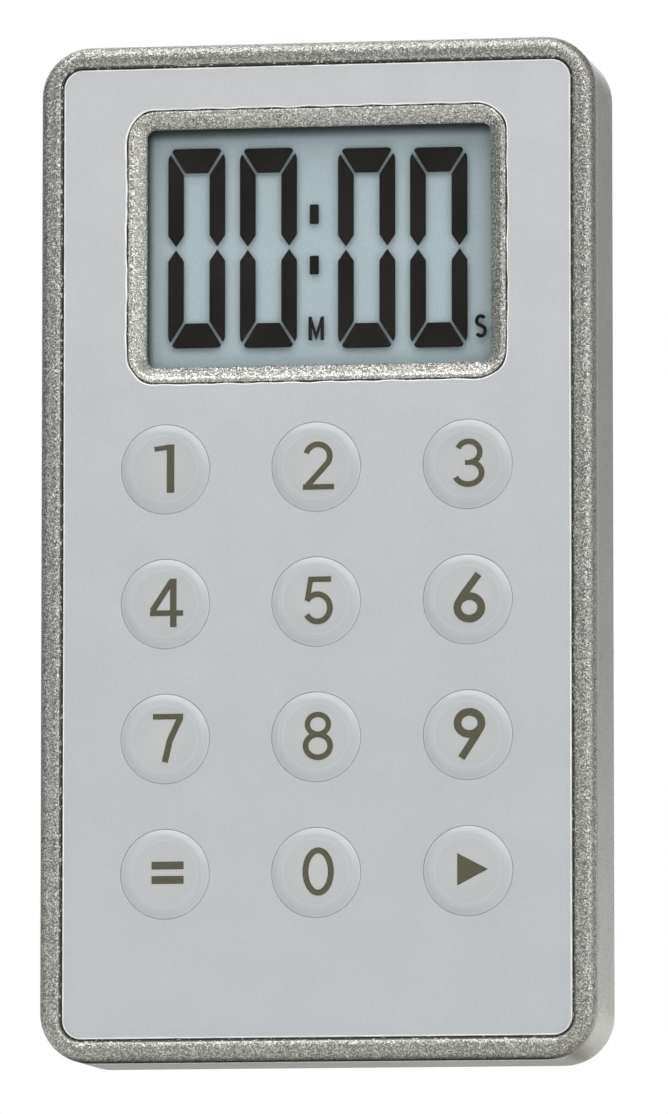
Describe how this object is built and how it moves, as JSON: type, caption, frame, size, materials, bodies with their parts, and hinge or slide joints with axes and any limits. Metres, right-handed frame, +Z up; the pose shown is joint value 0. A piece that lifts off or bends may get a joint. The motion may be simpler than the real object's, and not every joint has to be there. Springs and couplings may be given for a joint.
{
  "type": "kitchen timer",
  "caption": "Slim upright digital kitchen timer with a recessed display, a grid of round number keys, fridge magnets, a fold-out stand and a twist-off battery door.",
  "frame": {"origin": "middle of the bottom edge, half-way between rim crest and back", "axes": "+Z up along the long side, -Y out of the display and keys, +X to the reader's right"},
  "size_m": [0.056, 0.015, 0.102],
  "materials": {
    "silver_shell": "silver metal-flake paint on moulded plastic",
    "keypad_film": "satin silver-grey printed film",
    "clear_window": "clear acrylic",
    "lcd_glass": "display glass",
    "lcd_film": "polarising and reflecting film",
    "black_rubber": "carbon and silicone strips",
    "inner_plastic": "moulded plastic inside",
    "circuit_laminate": "solder-masked glass-epoxy board",
    "black_resin": "resin and ceramic chips",
    "ceramic": "white ceramic",
    "spring_steel": "stainless and nickel-plated steel",
    "brass": "brass disc",
    "door_plastic": "moulded plastic",
    "magnet_ferrite": "sintered ferrite",
    "adhesive": "acrylic adhesive",
    "wire_jacket": "insulated wire"
  },
  "bodies": {
    "case": {"front_case": "silver_shell", "rear_case": "silver_shell", "keypad_overlay": "keypad_film", "overlay_adhesive": "adhesive", "dome_sheet": "lcd_film", "display_window": "clear_window", "front_polariser": "lcd_film", "lcd_front_glass": "lcd_glass", "lcd_rear_glass": "lcd_glass", "lcd_reflector": "lcd_film", "zebra_strips": "black_rubber", "lcd_frame": "inner_plastic", "circuit_board": "circuit_laminate", "timer_chip": "black_resin", "timing_crystal": "spring_steel", "chip_capacitors": "ceramic", "chip_resistors": "black_resin", "button_cell": "spring_steel", "battery_holder": "inner_plastic", "positive_contact": "spring_steel", "negative_contact": "spring_steel", "sounder_disc": "brass", "sounder_ceramic": "ceramic", "sounder_wires": "wire_jacket", "fridge_magnets": "magnet_ferrite", "case_screws": "spring_steel", "board_screws": "spring_steel", "snap_dome_1": "spring_steel", "snap_dome_2": "spring_steel", "snap_dome_3": "spring_steel", "snap_dome_4": "spring_steel", "snap_dome_5": "spring_steel", "snap_dome_6": "spring_steel", "snap_dome_7": "spring_steel", "snap_dome_8": "spring_steel", "snap_dome_9": "spring_steel", "snap_dome_clear": "spring_steel", "snap_dome_0": "spring_steel", "snap_dome_start": "spring_steel"},
    "stand": {"stand": "door_plastic"},
    "battery_door": {"battery_door": "door_plastic"},
    "key_1": {"key_1": "keypad_film"},
    "key_2": {"key_2": "keypad_film"},
    "key_3": {"key_3": "keypad_film"},
    "key_4": {"key_4": "keypad_film"},
    "key_5": {"key_5": "keypad_film"},
    "key_6": {"key_6": "keypad_film"},
    "key_7": {"key_7": "keypad_film"},
    "key_8": {"key_8": "keypad_film"},
    "key_9": {"key_9": "keypad_film"},
    "key_clear": {"key_clear": "keypad_film"},
    "key_0": {"key_0": "keypad_film"},
    "key_start": {"key_start": "keypad_film"}
  },
  "joints": [
    {"name": "key_1_press", "type": "slide", "parent": "case", "child": "key_1", "axis": [0, 1, 0], "range_m": [0, 0.0004], "stiffness_N_per_m": 1500, "springref_m": -0.0005, "deforming": ["snap_dome_1"]},
    {"name": "key_2_press", "type": "slide", "parent": "case", "child": "key_2", "axis": [0, 1, 0], "range_m": [0, 0.0004], "stiffness_N_per_m": 1500, "springref_m": -0.0005, "deforming": ["snap_dome_2"]},
    {"name": "key_3_press", "type": "slide", "parent": "case", "child": "key_3", "axis": [0, 1, 0], "range_m": [0, 0.0004], "stiffness_N_per_m": 1500, "springref_m": -0.0005, "deforming": ["snap_dome_3"]},
    {"name": "key_4_press", "type": "slide", "parent": "case", "child": "key_4", "axis": [0, 1, 0], "range_m": [0, 0.0004], "stiffness_N_per_m": 1500, "springref_m": -0.0005, "deforming": ["snap_dome_4"]},
    {"name": "key_5_press", "type": "slide", "parent": "case", "child": "key_5", "axis": [0, 1, 0], "range_m": [0, 0.0004], "stiffness_N_per_m": 1500, "springref_m": -0.0005, "deforming": ["snap_dome_5"]},
    {"name": "key_6_press", "type": "slide", "parent": "case", "child": "key_6", "axis": [0, 1, 0], "range_m": [0, 0.0004], "stiffness_N_per_m": 1500, "springref_m": -0.0005, "deforming": ["snap_dome_6"]},
    {"name": "key_7_press", "type": "slide", "parent": "case", "child": "key_7", "axis": [0, 1, 0], "range_m": [0, 0.0004], "stiffness_N_per_m": 1500, "springref_m": -0.0005, "deforming": ["snap_dome_7"]},
    {"name": "key_8_press", "type": "slide", "parent": "case", "child": "key_8", "axis": [0, 1, 0], "range_m": [0, 0.0004], "stiffness_N_per_m": 1500, "springref_m": -0.0005, "deforming": ["snap_dome_8"]},
    {"name": "key_9_press", "type": "slide", "parent": "case", "child": "key_9", "axis": [0, 1, 0], "range_m": [0, 0.0004], "stiffness_N_per_m": 1500, "springref_m": -0.0005, "deforming": ["snap_dome_9"]},
    {"name": "key_clear_press", "type": "slide", "parent": "case", "child": "key_clear", "axis": [0, 1, 0], "range_m": [0, 0.0004], "stiffness_N_per_m": 1500, "springref_m": -0.0005, "deforming": ["snap_dome_clear"]},
    {"name": "key_0_press", "type": "slide", "parent": "case", "child": "key_0", "axis": [0, 1, 0], "range_m": [0, 0.0004], "stiffness_N_per_m": 1500, "springref_m": -0.0005, "deforming": ["snap_dome_0"]},
    {"name": "key_start_press", "type": "slide", "parent": "case", "child": "key_start", "axis": [0, 1, 0], "range_m": [0, 0.0004], "stiffness_N_per_m": 1500, "springref_m": -0.0005, "deforming": ["snap_dome_start"]},
    {"name": "stand_fold", "type": "hinge", "parent": "case", "child": "stand", "pos_m": [0, 0.00635, 0.0665], "axis": [1, 0, 0], "range_deg": [0, 65]},
    {"name": "battery_door_turn", "type": "hinge", "parent": "case", "child": "battery_door", "pos_m": [0, 0.0065, 0.0155], "axis": [0, 1, 0], "range_deg": [0, 40]}
  ]
}
